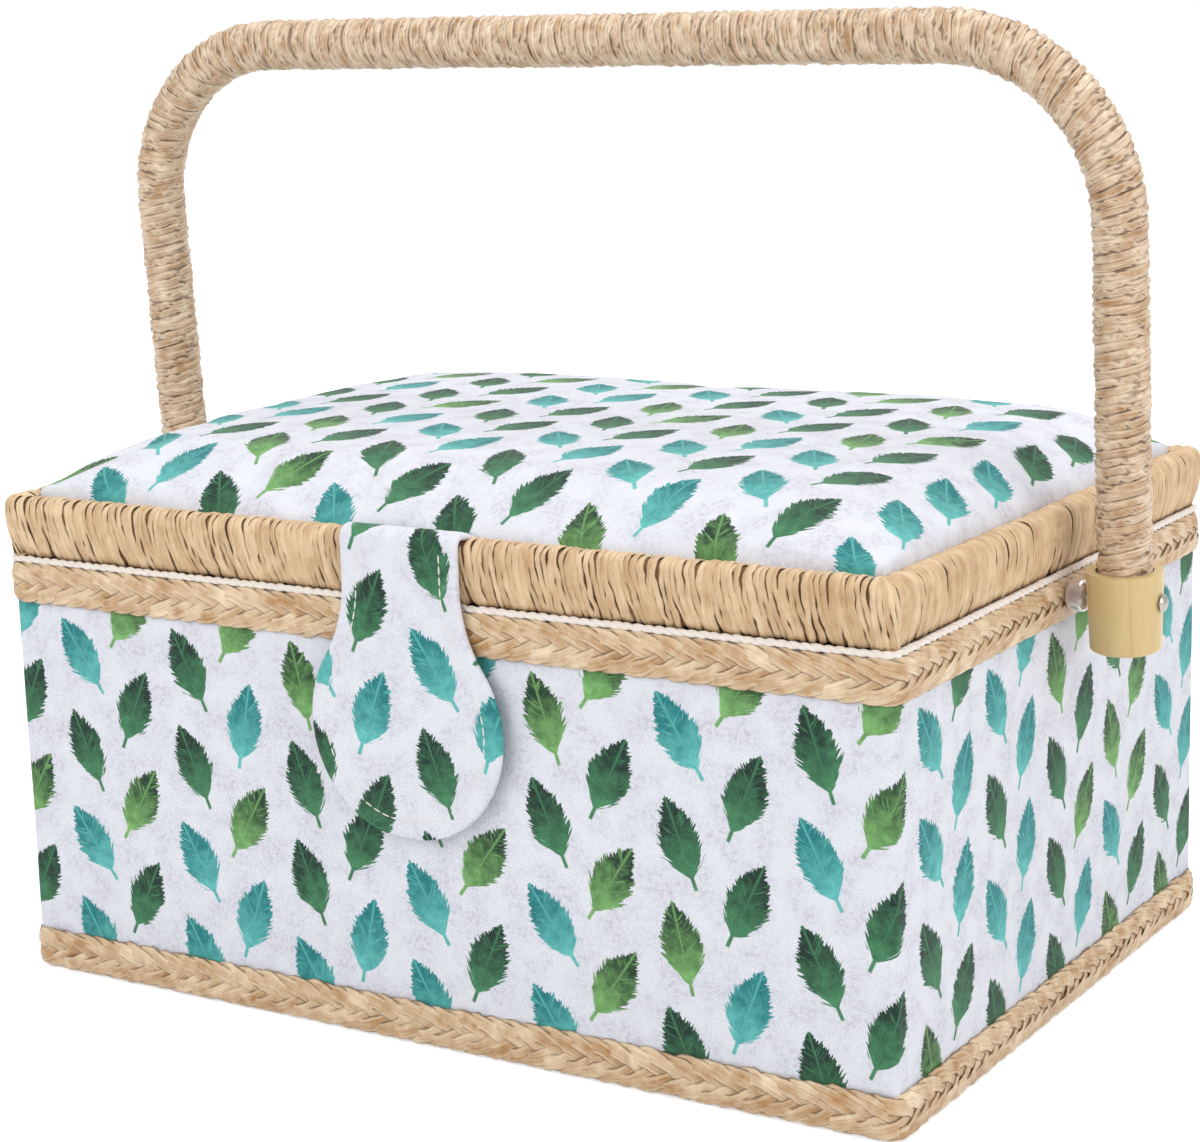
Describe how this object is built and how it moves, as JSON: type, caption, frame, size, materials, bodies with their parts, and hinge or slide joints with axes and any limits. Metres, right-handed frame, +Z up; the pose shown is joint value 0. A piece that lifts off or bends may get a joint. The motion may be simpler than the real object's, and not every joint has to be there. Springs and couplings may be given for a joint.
{
  "type": "sewing box",
  "caption": "Rectangular fabric-covered sewing box with a padded hinged lid, raffia-wrapped rim and braids, a front closing tab and an arch handle that swings on side pivots.",
  "frame": {"origin": "middle of the underside of the base, on the surface that the box stands on", "axes": "+X to the right along the length, +Y to the back where the hinges are, +Z up"},
  "size_m": [0.3538, 0.2224, 0.2823],
  "materials": {
    "printed_cotton": "plain weave, printed",
    "lining_cotton": "plain weave",
    "grey_board": "pressed board",
    "braid_raffia": "plaited, slightly glossy",
    "wound_raffia": "wound strips, matt",
    "wound_twine": "wound twisted twine, satin",
    "cotton_cord": "twisted",
    "pad_foam": "soft foam",
    "hoop_plastic": "matt",
    "cap_plastic": "satin moulded",
    "clear_plastic": "clear, faintly tinted",
    "plated_steel": "nickel plated"
  },
  "bodies": {
    "box": {"base_cloth": "lining_cotton", "base_board": "grey_board", "front_board": "grey_board", "front_keeper": "plated_steel", "back_board": "grey_board", "right_board": "grey_board", "left_board": "grey_board", "body_cover": "printed_cotton", "body_lining": "lining_cotton", "lower_braid": "braid_raffia", "upper_braid": "braid_raffia", "top_piping": "cotton_cord", "body_hinge_leaves": "plated_steel", "hinge_pins": "plated_steel", "body_hinge_screws": "plated_steel", "pivot_screws": "plated_steel", "pivot_washers": "plated_steel", "pivot_nuts": "plated_steel", "right_pivot_bush": "clear_plastic", "left_pivot_bush": "clear_plastic"},
    "lid": {"lid_lining": "lining_cotton", "lid_board": "grey_board", "lid_pad": "pad_foam", "lid_cover": "printed_cotton", "rim_hoop": "hoop_plastic", "rim_wrap": "wound_raffia", "tab_root": "printed_cotton", "lid_hinge_leaves": "plated_steel", "lid_hinge_screws": "plated_steel"},
    "handle": {"handle_core": "hoop_plastic", "handle_wrap": "wound_twine", "right_end_cap": "cap_plastic", "left_end_cap": "cap_plastic"},
    "tab": {"tab_flap": "printed_cotton", "tab_backing": "lining_cotton", "tab_magnet": "plated_steel"}
  },
  "joints": [
    {"name": "lid_hinge", "type": "hinge", "parent": "box", "child": "lid", "pos_m": [0, 0.10995, 0.1277], "axis": [-1, 0, 0], "range_deg": [0, 95]},
    {"name": "handle_swing", "type": "hinge", "parent": "box", "child": "handle", "pos_m": [0, 0, 0.122], "axis": [-1, 0, 0], "range_deg": [0, 105]},
    {"name": "tab_lift", "type": "hinge", "parent": "lid", "child": "tab", "pos_m": [0, -0.1094, 0.14725], "axis": [-1, 0, 0], "range_deg": [0, 90]}
  ],
  "couplings": [
    {"joint": "handle_swing", "follows": "lid_hinge", "ratio": 1.1}
  ]
}
